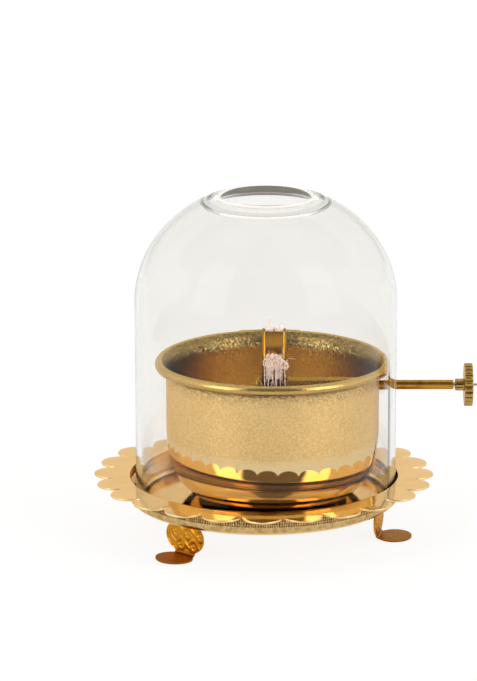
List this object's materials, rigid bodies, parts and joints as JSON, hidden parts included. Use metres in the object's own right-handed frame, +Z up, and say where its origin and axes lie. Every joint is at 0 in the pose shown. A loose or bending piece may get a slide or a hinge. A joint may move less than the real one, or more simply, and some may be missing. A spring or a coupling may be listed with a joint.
{
  "type": "glass-domed oil lamp with side wick winder",
  "caption": "Brass oil lamp: scalloped footed tray, loose lipped bowl with a wick tube fed by a side winder knob, and an open-topped glass dome slotted for the winder's sleeve.",
  "frame": {"origin": "on the table under the middle of the lamp's bounding box, winder included; the tray's own axis is 10 mm towards -X", "axes": "+Z up; +X along the winder's spindle towards the knob; -Y is the side the wick window faces"},
  "size_m": [0.1766, 0.1566, 0.1579],
  "materials": {
    "polished_brass": "polished and lathe-turned",
    "satin_brass": "fine satin with a polished heel",
    "sheet_brass": "bright, slightly tarnished",
    "steel": "plain drawn wire",
    "cotton": "loosely twisted undyed cotton",
    "glass": "clear, fire-polished mouth"
  },
  "bodies": {
    "stand": {"tray": "polished_brass", "foot_left": "sheet_brass", "foot_right": "sheet_brass", "foot_rear": "sheet_brass"},
    "lamp_bowl": {"bowl": "satin_brass", "wick_tube": "sheet_brass", "spindle_housing": "sheet_brass", "end_bearing": "sheet_brass", "outer_sleeve": "sheet_brass", "wick_tuft": "cotton"},
    "winder": {"spindle": "steel", "feed_wheel_left": "steel", "feed_wheel_right": "steel", "knob": "sheet_brass"},
    "wick": {"wick_left": "cotton", "wick_right": "cotton"},
    "dome": {"glass_dome": "glass"}
  },
  "joints": [
    {"name": "bowl_lift", "type": "slide", "parent": "stand", "child": "lamp_bowl", "axis": [0, 0, 1], "range_m": [0, 0.06]},
    {"name": "knob_turn", "type": "hinge", "parent": "lamp_bowl", "child": "winder", "pos_m": [0.08, 0, 0.0691], "axis": [1, 0, 0], "range_deg": [-100, 200]},
    {"name": "wick_feed", "type": "slide", "parent": "lamp_bowl", "child": "wick", "axis": [0, 0, 1], "range_m": [-0.0052, 0.0104]},
    {"name": "dome_lift", "type": "slide", "parent": "lamp_bowl", "child": "dome", "axis": [0, 0, 1], "range_m": [0, 0.12]}
  ],
  "couplings": [
    {"joint": "wick_feed", "follows": "knob_turn", "m_per_rad": 0.0029}
  ]
}
